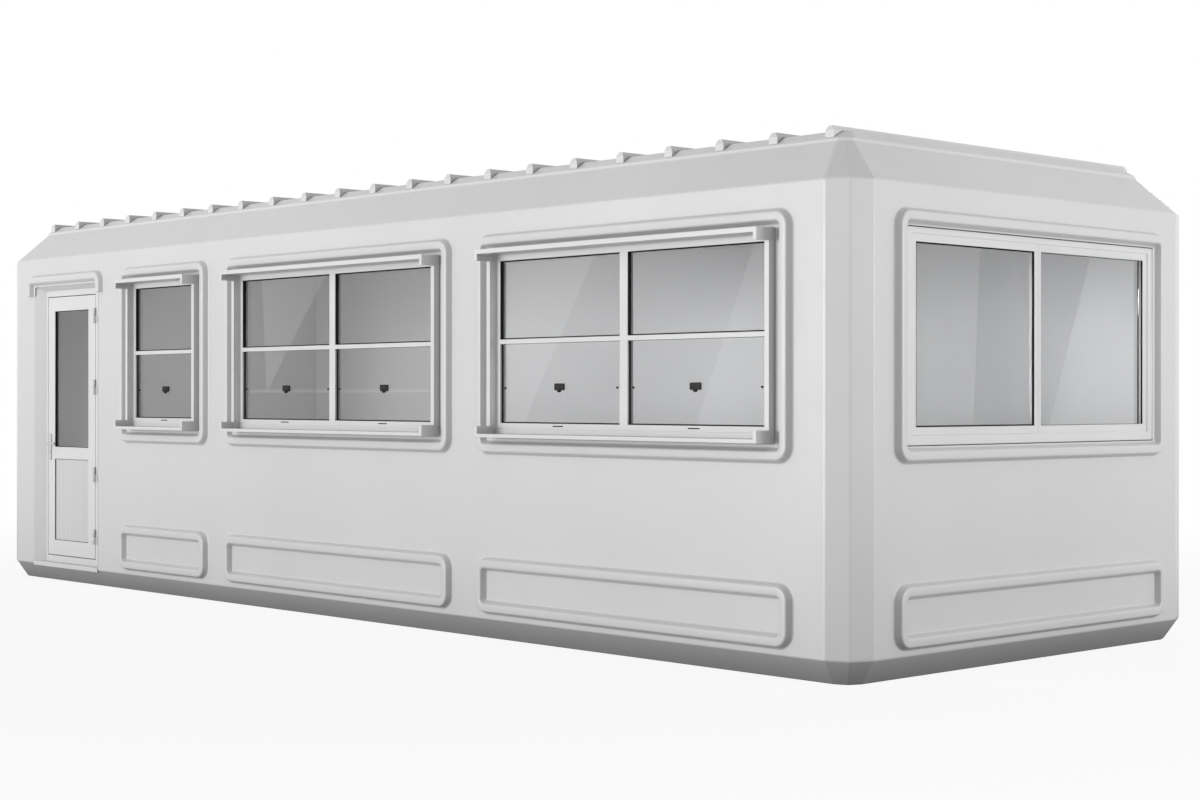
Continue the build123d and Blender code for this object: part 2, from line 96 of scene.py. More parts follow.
def finish(name, color, roughness, **sockets):
    """A material with its Principled shader, whose plain inputs are set by name."""
    material = bpy.data.materials.new(name)
    material.use_nodes = True
    material.diffuse_color = (*color, 1)
    shader = principled(material)
    shader.inputs["Base Color"].default_value = (*color, 1)
    shader.inputs["Roughness"].default_value = roughness
    for socket, value in sockets.items():
        shader.inputs[socket.replace("_", " ")].default_value = value
    return material


def add_node(material, kind, **inputs):
    node = material.node_tree.nodes.new(kind)
    for socket, value in inputs.items():
        node.inputs[socket.replace("_", " ")].default_value = value
    return node


def wire(material, start, end):
    material.node_tree.links.new(start, end)


print("finish, add_node and wire")

# %% [markdown]
# ## Grain
# No real surface has one tone or one gloss all over. One noise texture, stretched or not,
# gives the grain, and its values are spread over two tones or two roughnesses. Noise
# nodes were chosen over painted maps because they need no picture and no unwrapping.

# %% Helpers for grain


def noise(material, scale, detail=3, stretch=(1, 1, 1)):
    """Noise in metres: scale is how many grains there are to a metre."""
    place = add_node(material, "ShaderNodeTexCoord")
    squeeze = add_node(material, "ShaderNodeMapping", Scale=stretch)
    grain = add_node(material, "ShaderNodeTexNoise", Scale=scale, Detail=detail)
    wire(material, place.outputs["Object"], squeeze.inputs["Vector"])
    wire(material, squeeze.outputs["Vector"], grain.inputs["Vector"])
    return grain.outputs["Fac"]


def spread(material, value, low, high):
    """The noise's middle range spread over two limits."""
    remap = add_node(material, "ShaderNodeMapRange", From_Min=0.3, From_Max=0.7,
                     To_Min=low, To_Max=high)
    wire(material, value, remap.inputs["Value"])
    return remap.outputs["Result"]


def tones(material, value, dark, light):
    """Base colour that wanders between two tones."""
    mix = add_node(material, "ShaderNodeMix")
    mix.data_type = "RGBA"
    mix.inputs["A"].default_value = (0, 0, 0, 1)
    for socket, tone in zip([s for s in mix.inputs if s.type == "RGBA"], (dark, light)):
        socket.default_value = (*tone, 1)
    wire(material, value, mix.inputs[0])
    output = [s for s in mix.outputs if s.type == "RGBA"][0]
    wire(material, output, principled(material).inputs["Base Color"])
    return output


def rough(material, value, low, high):
    wire(material, spread(material, value, low, high),
         principled(material).inputs["Roughness"])


print("noise, spread, tones and rough")

# %% [markdown]
# ## Relief and recesses
# Small bumps catch the light without adding faces, so Bump nodes are stacked, a coarse
# one under a fine one. Recesses get painted shade: an Ambient Occlusion node finds them,
# and its answer scales the base colour down there.

# %% Helpers for relief and recesses


def relief(material, layers):
    """Bumps on bumps: each layer is a height and how many metres deep it is."""
    last = None
    for height, depth in layers:
        bump = add_node(material, "ShaderNodeBump", Strength=1.0, Distance=depth)
        wire(material, height, bump.inputs["Height"])
        if last:
            wire(material, last, bump.inputs["Normal"])
        last = bump.outputs["Normal"]
    wire(material, last, principled(material).inputs["Normal"])


def dimmed(material, color, share):
    """A colour output times a share that another output gives."""
    product = add_node(material, "ShaderNodeVectorMath")
    product.operation = "SCALE"
    wire(material, color, product.inputs[0])
    wire(material, share, product.inputs["Scale"])
    return product.outputs[0]


def painted_recess_shade(material, reach, least):
    """Paints shade into the base colour: darker in recesses that an Ambient Occlusion node
    finds.
    """
    base = principled(material).inputs["Base Color"]
    nearby = add_node(material, "ShaderNodeAmbientOcclusion", Distance=reach)
    nearby.samples = 8
    remap = add_node(material, "ShaderNodeMapRange", From_Min=0.2, From_Max=0.95,
                     To_Min=least, To_Max=1.0)
    wire(material, nearby.outputs["AO"], remap.inputs["Value"])
    color = base.links[0].from_socket
    wire(material, dimmed(material, color, remap.outputs["Result"]), base)


print("relief, dimmed and painted_recess_shade")

# %% [markdown]
# ## Gel coat
# The shell's skin is gel coat: white pigmented resin sprayed into the mould before the
# glass fibre. It comes out smooth with a soft gloss, but never quite flat. There is a
# fine orange peel of a few millimetres, and long shallow waves where the laminate shrank
# behind it. Two layers of noise in the bump do both, and a third makes the gloss uneven.

# The tapered foot faces down, and its shade is painted in as a darker grey, whose change
# follows its upper fold.

# %% Gel coat material
GEL = (0.735, 0.735, 0.737)
GEL_DARK = (0.715, 0.715, 0.717)
GEL_LIGHT = (0.752, 0.752, 0.754)

SKIRT_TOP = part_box("base_tray")[1].z
SKIRT_PAINTED_SHADE = 0.70
SKIRT_BLEND = 0.006

gel_coat = finish("gel_coat", GEL, 0.4, Coat_Weight=0.2, Coat_Roughness=0.25)
skin = tones(gel_coat, spread(gel_coat, noise(gel_coat, 0.7, 4), 0, 1), GEL_DARK,
             GEL_LIGHT)

place = add_node(gel_coat, "ShaderNodeTexCoord")
split = add_node(gel_coat, "ShaderNodeSeparateXYZ")
wire(gel_coat, place.outputs["Object"], split.inputs["Vector"])
# Painted shade on the down-facing foot: the base colour is scaled down below its upper fold.
foot = add_node(gel_coat, "ShaderNodeMapRange", From_Min=SKIRT_TOP - SKIRT_BLEND,
                From_Max=SKIRT_TOP + 0.001, To_Min=SKIRT_PAINTED_SHADE, To_Max=1.0)
wire(gel_coat, split.outputs["Z"], foot.inputs["Value"])
wire(gel_coat, dimmed(gel_coat, skin, foot.outputs["Result"]),
     principled(gel_coat).inputs["Base Color"])
rough(gel_coat, noise(gel_coat, 9, 4), 0.36, 0.46)
relief(gel_coat, [(noise(gel_coat, 1.1, 2), 0.006), (noise(gel_coat, 320, 2), 0.00006)])
# Painted shade in the shell's recesses, from the Ambient Occlusion node.
painted_recess_shade(gel_coat, 0.12, 0.70)
print("gel coat", GEL)

# %% [markdown]
# ## White window profile
# Frames, sashes and the door leaf are extruded white plastic. It is a little whiter and
# smoother than gel coat. The panel low in the door is duller, and its grain runs upright:
# the noise is stretched along Z. Rubber, black plastic, the handle's lacquer and the
# floor's vinyl follow the same recipe, each with its own grain and gloss.

# %% White profile, rubber, black plastic, handle and floor materials
profile = finish("white_profile", (0.80, 0.80, 0.802), 0.32, Coat_Weight=0.15,
                 Coat_Roughness=0.2)
tones(profile, spread(profile, noise(profile, 3, 3), 0, 1), (0.785, 0.785, 0.787),
      (0.812, 0.812, 0.814))
rough(profile, noise(profile, 25, 3), 0.28, 0.38)
relief(profile, [(noise(profile, 900, 2), 0.00002)])
# Painted shade in the frames' recesses, from the Ambient Occlusion node.
painted_recess_shade(profile, 0.14, 0.68)

UPRIGHT_GRAIN = (1, 1, 0.012)
panel_skin = finish("panel_skin", (0.72, 0.72, 0.722), 0.42)
tones(panel_skin, spread(panel_skin, noise(panel_skin, 70, 2, UPRIGHT_GRAIN), 0, 1),
      (0.66, 0.66, 0.662), (0.72, 0.72, 0.722))
rough(panel_skin, noise(panel_skin, 30, 3), 0.36, 0.5)
relief(panel_skin, [(noise(panel_skin, 110, 2, UPRIGHT_GRAIN), 0.0001)])

rubber = finish("black_rubber", (0.010, 0.010, 0.010), 0.65, Specular_IOR_Level=0.2)
rough(rubber, noise(rubber, 60, 3), 0.55, 0.75)
relief(rubber, [(noise(rubber, 1500, 2), 0.00003)])

black = finish("black_plastic", (0.010, 0.010, 0.010), 0.45, Specular_IOR_Level=0.25)
rough(black, noise(black, 120, 3), 0.38, 0.55)
relief(black, [(noise(black, 2500, 2), 0.00004)])

lacquer = finish("handle_lacquer", (0.66, 0.66, 0.665), 0.3, Coat_Weight=0.4,
                 Coat_Roughness=0.12)
rough(lacquer, noise(lacquer, 90, 3), 0.24, 0.36)
relief(lacquer, [(noise(lacquer, 700, 2), 0.00002)])

vinyl = finish("floor_vinyl", (0.36, 0.36, 0.37), 0.5)
tones(vinyl, spread(vinyl, noise(vinyl, 400, 2), 0, 1), (0.29, 0.29, 0.30),
      (0.44, 0.44, 0.45))
rough(vinyl, noise(vinyl, 6, 4), 0.42, 0.6)
relief(vinyl, [(noise(vinyl, 500, 2), 0.0001)])
print("profile, door panel, rubber, black plastic, lacquer and vinyl")

# %% [markdown]
# ## Glass
# The panes are lightly tinted float glass. A refracting shader on a solid pane gives
# the gloss of the sky and the dim room behind it. Light that lamps send through a
# refracting pane would be lost, so shadow rays meet a plain see-through shader instead.

# %% Glass material
glass = finish("tinted_glass", (0.90, 0.903, 0.906), 0.0, IOR=1.52,
               Transmission_Weight=1.0)
clear = add_node(glass, "ShaderNodeBsdfTransparent", Color=(0.72, 0.725, 0.73, 1))
choose = add_node(glass, "ShaderNodeMixShader")
ray = add_node(glass, "ShaderNodeLightPath")
wire(glass, ray.outputs["Is Shadow Ray"], choose.inputs["Fac"])
wire(glass, principled(glass).outputs["BSDF"], choose.inputs[1])
wire(glass, clear.outputs["BSDF"], choose.inputs[2])
wire(glass, choose.outputs["Shader"],
     glass.node_tree.nodes["Material Output"].inputs["Surface"])
relief(glass, [(noise(glass, 1.3, 1), 0.0003)])
print("glass")

# %% [markdown]
# ## One finish for each node
# The record names a material slot for every node, so a table from slot to material
# dresses them all in one loop. Two nodes differ from their slot: the sill is white
# profile, and the door's panel has its grained skin.

# %% Give every CAD node its finish
FINISHES = {
    "moulded_shell": gel_coat, "window_frames": profile, "glass": glass,
    "black_fittings": black, "handle_metal": lacquer, "floor_vinyl": vinyl,
}
slot_of = {part["node"]: part["material_slot"] for part in frame["record"]["subparts"]}
for node, part in nodes.items():
    part.data.materials.clear()
    part.data.materials.append(FINISHES[slot_of[node]])
nodes["door_sill"].data.materials[0] = profile
nodes["door_panel"].data.materials[0] = panel_skin
print({slot: list(slot_of.values()).count(slot) for slot in FINISHES})

# %% [markdown]
# ## Softened edges
# Nothing that comes out of a mould or an extrusion die has a knife edge, and a bright
# line along each edge is what tells the eye so. The CAD pieces keep their meshes. A Weld
# modifier joins the corners that the import split, and a Bevel rounds the edges.

# %% Soften the CAD pieces that stay
SAME_POINT = 0.00001


def add_bevel(part, name, width, segments, least_angle):
    """Rounds the edges that turn by more than an angle in degrees."""
    bevel = part.modifiers.new(name, "BEVEL")
    bevel.width = width
    bevel.segments = segments
    bevel.limit_method = "ANGLE"
    bevel.angle_limit = math.radians(least_angle)
    bevel.harden_normals = True


def soften(node, width):
    weld = nodes[node].modifiers.new("weld", "WELD")
    weld.merge_threshold = SAME_POINT
    add_bevel(nodes[node], "soft_edge", width, 2, 35)


SOFT_EDGES = {"box": 0.002, "frame": 0.0015, "sashes": 0.0012}
for node in nodes:
    for ending, width in SOFT_EDGES.items():
        if node.endswith(ending):
            soften(node, width)
for node, width in {"door_leaf": 0.002, "door_panel": 0.001, "door_stop": 0.001,
                    "door_sill": 0.003, "roof_ribs": 0.004,
                    "door_hinge_knuckles": 0.0008, "door_hinge_pins": 0.0008,
                    "door_handle_plate": 0.0015}.items():
    soften(node, width)
print("edges softened")

# %% [markdown]
# ## The moulded shell in one skin
# In CAD the shell is many plain solids side by side, which suits a builder who wants one
# wall. The real shell is one skin without a seam, with soft folds at its corners and
# eaves. So the solids are joined here with boolean unions, the leftover lines on flat
# areas are dissolved, and one bevel rounds every fold at once.

# %% Join the shell's solids
SAME_PLANE = math.radians(0.5)


def merge_flat(work, distance):
    """Joins points that meet and drops the lines that cross a flat face."""
    bmesh.ops.remove_doubles(work, verts=work.verts, dist=distance)
    bmesh.ops.dissolve_limit(work, angle_limit=SAME_PLANE, verts=work.verts,
                             edges=work.edges)


def welded_copy(node):
    """A new object with the node's shape, closed along its edges."""
    mesh = nodes[node].data.copy()
    work = bmesh.new()
    work.from_mesh(mesh)
    merge_flat(work, SAME_POINT)
    work.to_mesh(mesh)
    work.free()
    copy = bpy.data.objects.new(node + "_copy", mesh)
    bpy.context.scene.collection.objects.link(copy)
    return copy


def applied(obj):
    """The object's mesh with its modifiers worked into it."""
    view = bpy.context.evaluated_depsgraph_get()
    mesh = bpy.data.meshes.new_from_object(obj.evaluated_get(view))
    obj.modifiers.clear()
    obj.data = mesh
    return obj


SHELL_NODES = ["front_wall_windows", "front_wall_over_door", "front_wall_left",
               "back_wall", "left_wall", "right_wall", "wall_corners", "base_tray",
               "roof_band_front", "roof_band_back", "roof_band_left",
               "roof_band_right", "roof_corners", "roof_cap"]
FOLD_RADIUS = 0.010
UNION_SLACK = 0.00005

shell = welded_copy("front_wall_windows")
shell.name = "cabin_shell"
copies = [welded_copy(node) for node in SHELL_NODES[1:]]
for copy in copies:
    union = shell.modifiers.new("union", "BOOLEAN")
    union.operation = "UNION"
    union.solver = "EXACT"
    union.object = copy
applied(shell)
for copy in copies:
    bpy.data.objects.remove(copy)
work = bmesh.new()
work.from_mesh(shell.data)
merge_flat(work, UNION_SLACK)
open_edges = [edge for edge in work.edges if not edge.is_manifold]
print("shell:", len(work.verts), "corners,", len(work.faces), "faces,",
      len(open_edges), "open edges")
work.to_mesh(shell.data)
work.free()
add_bevel(shell, "folds", FOLD_RADIUS, 4, 12)
shell.data.materials.clear()
shell.data.materials.append(gel_coat)
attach(shell, "cabin")
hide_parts(*SHELL_NODES)
print("shell joined from", len(SHELL_NODES), "solids")

# %% [markdown]
# ## Raised rings
# Each wall carries moulded rings: a rounded bar with drafted sides, bent round a window
# or standing alone low on the wall. CAD has them with sharp feet. Here a cross-section
# with a hollow fillet at each foot and a rounded crown is carried round a rounded
# rectangle, so that light rolls over it as it does on the real skin.

# %% Ring cross-section
RING_RISE = 0.038
RING_FOOT = 0.075
RING_DRAFT_OUT = 0.015
RING_DRAFT_IN = 0.017
RING_CORNER = 0.085
RING_INNER_CORNER = 0.012
SIDE_FILLET = 0.012
CORNER_STEPS = 10


def rounded_path(points, radius, steps=4):
    """A flat path whose inner corners are turned into arcs of that radius."""
    path = [points[0]]
    for before, corner, after in zip(points, points[1:], points[2:]):
        a = (Vector(before) - Vector(corner)).normalized()
        b = (Vector(after) - Vector(corner)).normalized()
        turn = a.angle(b)
        reach = radius / math.tan(turn / 2)
        start = Vector(corner) + a * reach
        end = Vector(corner) + b * reach
        middle = Vector(corner) + (a + b).normalized() * radius / math.sin(turn / 2)
        for step in range(steps + 1):
            share = step / steps
            arm = (start - middle).lerp(end - middle, share)
            path.append(tuple(middle + arm.normalized() * radius))
    path.append(points[-1])
    return path


def ring_section():
    """(distance in from the outer foot, rise) round the bar, foot to foot."""
    crown_out = (RING_DRAFT_OUT, RING_RISE)
    crown_in = (RING_FOOT - RING_DRAFT_IN, RING_RISE)
    outer = rounded_path([(-SIDE_FILLET, 0), (0.0, 0), crown_out,
                          (RING_FOOT / 2, RING_RISE)], SIDE_FILLET)
    inner = rounded_path([(RING_FOOT / 2, RING_RISE), crown_in, (RING_FOOT, 0.0),
                          (RING_FOOT + SIDE_FILLET, 0)], SIDE_FILLET)
    return outer + inner[1:]


print("the section has", len(ring_section()), "points")

# %% [markdown]
# ## Outlines and walls
# The rings, and later the latches and plates, all go round a rectangle with round
# corners. Every outline has as many points as the next, so that two of them can be joined
# by four-sided faces. A small table tells each wall's own left-to-right and outside, so
# one function places a point on any wall.

# %% Outlines and walls


def rounded_rectangle(width, height, inset, corner=RING_CORNER,
                      least=RING_INNER_CORNER):
    """Points round a rectangle, always as many, whose corners shrink with the inset."""
    radius = max(corner - inset, least)
    half_x = width / 2 - inset - radius
    half_z = height / 2 - inset - radius
    points = []
    for quarter, (sx, sz) in enumerate(((1, 1), (-1, 1), (-1, -1), (1, -1))):
        for step in range(CORNER_STEPS + 1):
            angle = math.pi / 2 * (quarter + step / CORNER_STEPS)
            points.append((sx * half_x + radius * math.cos(angle),
                           sz * half_z + radius * math.sin(angle)))
    return points


# Where each wall's own left-to-right, and its outside, point in the cabin's frame.
end_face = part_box("base_tray")[1].x
long_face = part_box("base_tray")[1].y
WALLS = {
    "front": (Vector((1, 0, 0)), Vector((0, -long_face, 0)), Vector((0, -1, 0))),
    "back": (Vector((-1, 0, 0)), Vector((0, long_face, 0)), Vector((0, 1, 0))),
    "right": (Vector((0, 1, 0)), Vector((end_face, 0, 0)), Vector((1, 0, 0))),
    "left": (Vector((0, -1, 0)), Vector((-end_face, 0, 0)), Vector((-1, 0, 0))),
}
SINK = 0.0005


def on_wall(wall, across, up, out):
    along, face, outward = WALLS[wall]
    return face + along * across + outward * out + Vector((0, 0, up))


print("walls at", round(end_face, 3), "and", round(long_face, 3))

# %% [markdown]
# ## Making the rings
# Each ring is made from faces between rows of points, one row for each point of the
# cross-section. Where a ring stands comes from the CAD node: its separate solids are found
# by walking along their edges, and each one's box gives a ring's place and size.

# %% Rings on four walls


def new_piece(name, work, material, body="cabin", smooth=30):
    """Turns a bmesh into a piece that rides on a body."""
    bmesh.ops.recalc_face_normals(work, faces=work.faces)
    mesh = bpy.data.meshes.new(name)
    work.to_mesh(mesh)
    work.free()
    mesh.materials.append(material)
    piece = bpy.data.objects.new(name, mesh)
    bpy.context.scene.collection.objects.link(piece)
    mesh.shade_smooth()
    mesh.set_sharp_from_angle(angle=math.radians(smooth))
    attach(piece, body)
    return piece


def skin_between(work, rows, closed):
    """Four-sided faces between rows of vertices."""
    for row, following in zip(rows, rows[1:]):
        count = len(row)
        for index in range(count if closed else count - 1):
            after = (index + 1) % count
            work.faces.new((row[index], row[after], following[after], following[index]))


def add_ring(work, wall, centre, middle, width, height):
    rows = []
    for inset, rise in ring_section():
        outline = rounded_rectangle(width, height, inset)
        rows.append([work.verts.new(on_wall(wall, centre + x, middle + z, rise - SINK))
                     for x, z in outline])
    skin_between(work, rows + [rows[0]], True)


def islands(node):
    """The boxes of a node's separate solids, as (lowest corner, highest corner)."""
    work = bmesh.new()
    work.from_mesh(nodes[node].data)
    bmesh.ops.remove_doubles(work, verts=work.verts, dist=SAME_POINT)
    left = set(work.verts)
    boxes = []
    while left:
        found = [left.pop()]
        for vertex in found:
            for edge in vertex.link_edges:
                other = edge.other_vert(vertex)
                if other in left:
                    left.remove(other)
                    found.append(other)
        boxes.append((Vector([min(v.co[i] for v in found) for i in range(3)]),
                      Vector([max(v.co[i] for v in found) for i in range(3)])))
    work.free()
    return sorted(boxes, key=lambda pair: tuple(pair[0]))


for wall in WALLS:
    node = wall + "_wall_beads"
    along = WALLS[wall][0]
    work = bmesh.new()
    for low, high in islands(node):
        start, end = sorted((low.dot(along), high.dot(along)))
        add_ring(work, wall, (start + end) / 2, (low.z + high.z) / 2, end - start,
                 high.z - low.z)
    rings = new_piece(wall + "_rings", work, gel_coat, smooth=40)
    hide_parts(node)
    print(rings.name, len(rings.data.polygons), "faces")

# %% [markdown]
# ## The hood over the door
# The door has the same raised bar, but only over its head, with two short legs. The same
# cross-section goes along an open path this time, and its two feet are closed flat.

# %% Door hood
hood_low, hood_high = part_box("door_hood")
work = bmesh.new()
rows = []
for inset, rise in ring_section():
    corner = max(RING_CORNER - inset, RING_INNER_CORNER)
    left, right, head = hood_low.x + inset, hood_high.x - inset, hood_high.z - inset
    path = rounded_path([(left, hood_low.z), (left, head), (right, head),
                         (right, hood_low.z)], corner, CORNER_STEPS)
    rows.append([work.verts.new(on_wall("front", x, z, rise - SINK)) for x, z in path])
skin_between(work, rows, False)
for end in (0, -1):
    work.faces.new([row[end] for row in rows])
hood = new_piece("door_hood_bar", work, gel_coat, smooth=40)
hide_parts("door_hood")
print("hood", len(hood.data.polygons), "faces")

# %% [markdown]
# ## Glazing gaskets
# Each pane is held by a black rubber gasket pressed into the frame. Seen from the right,
# its lip and its side make the dark line at the left and head of every pane. The same
# bar maker as for the rings would round the corners, but a gasket is mitred, so this one
# goes straight round a rectangle.

# %% Mitred loop


def add_loop(work, wall, rectangle, section):
    """A mitred bar round a rectangle (left, right, low, high). Section points are
    (distance in from its edge, distance out from the wall's face)."""
    left, right, low, high = rectangle
    rows = []
    for inset, out in section:
        corners = [(right - inset, high - inset), (left + inset, high - inset),
                   (left + inset, low + inset), (right - inset, low + inset)]
        rows.append([work.verts.new(on_wall(wall, x, z, out)) for x, z in corners])
    skin_between(work, rows + [rows[0]], True)


def pane_rectangle(wall, low, high):
    along = WALLS[wall][0]
    left, right = sorted((low.dot(along), high.dot(along)))
    return [left, right, low.z, high.z]


def face_out(wall, low, high):
    """How far the front of a box lies out from the wall's face."""
    outward = WALLS[wall][2]
    return max(low.dot(outward), high.dot(outward)) - WALLS[wall][1].dot(outward)


print("loop maker ready")

# %% Gaskets


def lip(glass_out, depth, width):
    """A gasket's section: a lip on the glass that leans back against the frame."""
    return [(-0.001, glass_out + 0.0002), (width, glass_out + 0.0002),
            (width * 1.1, glass_out + depth * 0.25), (width * 0.75, glass_out + depth * 0.8),
            (width * 0.4, glass_out + depth), (-0.001, glass_out + depth)]


FRONT_WINDOWS = ["window_1", "window_2", "window_3"]
# Wall, node, and how deep and wide the gasket is.
GASKETS = {name: ("front", name + "_glass", 0.013, 0.0065) for name in FRONT_WINDOWS}
GASKETS["right_window"] = ("right", "right_window_glass", 0.0055, 0.007)
GASKETS["door_glass"] = ("front", "door_glass", 0.010, 0.004)
GASKETS["door_panel"] = ("front", "door_panel", 0.006, 0.003)
# The lower panes' gaskets are shallow, and their heads hide behind the rail.
LOWER_DEPTH = 0.005
HIDDEN_HEAD = 0.008
RAIL_ZONE = 0.1
# The far sash of the end window lies behind a cover, so its gasket hardly shows.
THIN_LIP = (0.0015, 0.002)

for name, (wall, node, depth, width) in GASKETS.items():
    work = bmesh.new()
    boxes = islands(node)
    middle = sum(low.z + high.z for low, high in boxes) / len(boxes) / 2
    for low, high in boxes:
        rectangle = pane_rectangle(wall, low, high)
        deep, wide = depth, width
        if wall == "front" and high.z < middle + RAIL_ZONE and len(boxes) > 1:
            deep = LOWER_DEPTH
            rectangle[3] += HIDDEN_HEAD
        if wall == "right" and low.x == boxes[0][0].x:
            deep, wide = THIN_LIP
        add_loop(work, wall, rectangle, lip(face_out(wall, low, high), deep, wide))
    body = "door" if name.startswith("door") else "cabin"
    new_piece(name + "_gasket", work, rubber, body)
    print(name, "gasket round", len(boxes))

# %% [markdown]
# ## Spacers and beads behind the glass
# Through a pane the eye sees the inner side of the frame. On the real window a black bar
# lines it next to the glass, and a grey bead the rest. Each is a thin strip on that side,
# made with the same mitred loop as the gaskets.

# %% Spacers and beads
bead_grey = finish("glazing_bead_grey", (0.30, 0.30, 0.30), 0.6)
rough(bead_grey, noise(bead_grey, 60, 3), 0.5, 0.7)
SPACER_THICK = 0.0015
BEAD_THICK = SPACER_THICK * 0.7
BEHIND = 0.0003
# Wall, how deep the spacer is, and where the bead behind it ends, from the pane's back.
SPACERS = {name + "_glass": ("front", 0.006, 0.0205) for name in FRONT_WINDOWS}
SPACERS["door_glass"] = ("front", 0.006, 0)
SPACERS["right_window_glass"] = ("right", 0.0055, 0)


def strip(back, start, end, thick):
    """A flat bar's section along a frame's inner side, between two depths."""
    return [(-0.0002, back - start), (thick, back - start), (thick, back - end + 0.001),
            (thick * 0.5, back - end), (-0.0002, back - end)]


spacer_work, door_work, bead_work = bmesh.new(), bmesh.new(), bmesh.new()
for name, (wall, spacer_end, bead_end) in SPACERS.items():
    work = door_work if name == "door_glass" else spacer_work
    for low, high in islands(name):
        thick = min(high.x - low.x, high.y - low.y)
        back = face_out(wall, low, high) - thick - BEHIND
        rectangle = pane_rectangle(wall, low, high)
        add_loop(work, wall, rectangle, strip(back, 0, spacer_end, SPACER_THICK))
        if bead_end:
            add_loop(bead_work, wall, rectangle,
                     strip(back, spacer_end + 0.0002, bead_end, BEAD_THICK))
new_piece("pane_spacers", spacer_work, rubber)
new_piece("door_pane_spacer", door_work, rubber, "door")
new_piece("pane_beads", bead_work, bead_grey)
print("spacers behind", len(SPACERS), "sets of panes")

# %% [markdown]
# ## The sliding window's cover strips
# The two sashes slide in two tracks, so the far one sits deeper. A flange on the near
# sash overlaps it where they meet. A flat cover lies in the empty track beside, over and
# under the far sash, nearly level with the frame. Each is a straight bar with its own
# cross-section.

# %% Cover strips


def add_bar(work, wall, outline, start, end, upright):
    """A straight bar. An upright one has outline points (across, out) and runs between
    two heights; a level one has (height, out) and runs between two places across."""
    rows = []
    for reach in (start, end):
        rows.append([work.verts.new(
            on_wall(wall, a, reach, out) if upright else on_wall(wall, reach, a, out))
            for a, out in outline])
    skin_between(work, rows, True)
    work.faces.new(rows[0][::-1])
    work.faces.new(rows[1])


(far_low, far_high), (near_low, near_high) = islands("right_window_sashes")
near_out = face_out("right", near_low, near_high)
far_out = face_out("right", far_low, far_high)
FLANGE = 0.018
FLANGE_THICK = 0.004
COVER_SINK = 0.0025
COVER_SOFT = 0.0015

work = bmesh.new()
edge = near_high.y
add_bar(work, "right", [(edge - 0.006, near_out - 0.001), (edge - 0.006, near_out + 0.001),
                        (edge + FLANGE - 0.001, near_out + 0.001),
                        (edge + FLANGE, near_out), (edge + FLANGE, near_out - FLANGE_THICK),
                        (edge, near_out - FLANGE_THICK)], near_low.z, near_high.z, True)
end, head, foot = far_high.y, far_high.z, far_low.z
cover_out = near_out - COVER_SINK
(pane_low, pane_high), _ = islands("right_window_glass")


def cover(outer, inner):
    """A flat bar's section from the frame's side to the pane's edge."""
    inward = 1 if inner > outer else -1
    return [(outer, far_out + 0.0002), (outer, cover_out),
            (inner - inward * COVER_SOFT, cover_out),
            (inner - inward * COVER_SOFT * 0.3, cover_out - COVER_SOFT * 0.3),
            (inner, cover_out - COVER_SOFT), (inner, far_out + 0.0002)]


add_bar(work, "right", cover(end, pane_high.y), foot, head, True)
for outer, inner in ((head, pane_high.z), (foot, pane_low.z)):
    add_bar(work, "right", cover(outer, inner), edge + 0.0005, pane_high.y, False)
new_piece("slider_covers", work, profile)

# A black wiper lines the covers' inner side, next to the pane.
WIPER_DEPTH = 0.012
work = bmesh.new()
add_bar(work, "right", [(pane_high.y, cover_out - 0.003), (pane_high.y - 0.0015,
                        cover_out - 0.004), (pane_high.y - 0.0015,
                        cover_out - WIPER_DEPTH), (pane_high.y, cover_out - WIPER_DEPTH)],
        pane_low.z, pane_high.z, True)
new_piece("cover_wiper", work, rubber)
print("flange, covers and wiper")

# %% [markdown]
# ## Pads with a soft crown
# Latches, handle plates, drain slots and screws are all small flat pads with a rounded
# outline and a softened crown. One maker stacks rounded outlines, each a little smaller
# and further out than the last, and closes the top.

# %% Pad maker


def add_pad(work, wall, across, up, width, height, corner, section):
    """Section points are (distance in from the outline, distance out from the face)."""
    rows = []
    for inset, out in section:
        outline = rounded_rectangle(width, height, inset, corner,
                                    max(corner - inset, 0.0002))
        rows.append([work.verts.new(on_wall(wall, across + x, up + z, out))
                     for x, z in outline])
    skin_between(work, rows, True)
    work.faces.new(rows[-1])
    work.faces.new(rows[0][::-1])


def crown(base, rise, soft, turns=4):
    """A pad's section: straight up from base, then a quarter round of radius soft."""
    section = [(0, base), (0, base + rise - soft)]
    for step in range(1, turns + 1):
        angle = math.pi / 2 * step / turns
        section.append((soft * (1 - math.cos(angle)),
                        base + rise - soft + soft * math.sin(angle)))
    return section


print("a crown has", len(crown(0, 0.002, 0.001)), "points")

# %% [markdown]
# ## Latches on the lower panes
# The lower panes lift, and each carries a black catch on its glass: a flat case with a
# turning knob at its foot. Two small bolts at the pane's sides and a drain slot in the
# rail below belong to it.

# %% Latches, bolts and drain slots
LATCH_CASE_SHARE = 0.78
CASE_RISE = 0.010
KNOB = 0.022
KNOB_FROM_FOOT = 0.011
KNOB_RISE = 0.0155
BOLT = 0.012
BOLT_FROM_EDGE = 0.031
SLOT_LENGTH = 0.085
SLOT_HEIGHT = 0.006
SLOT_DROP = 0.014

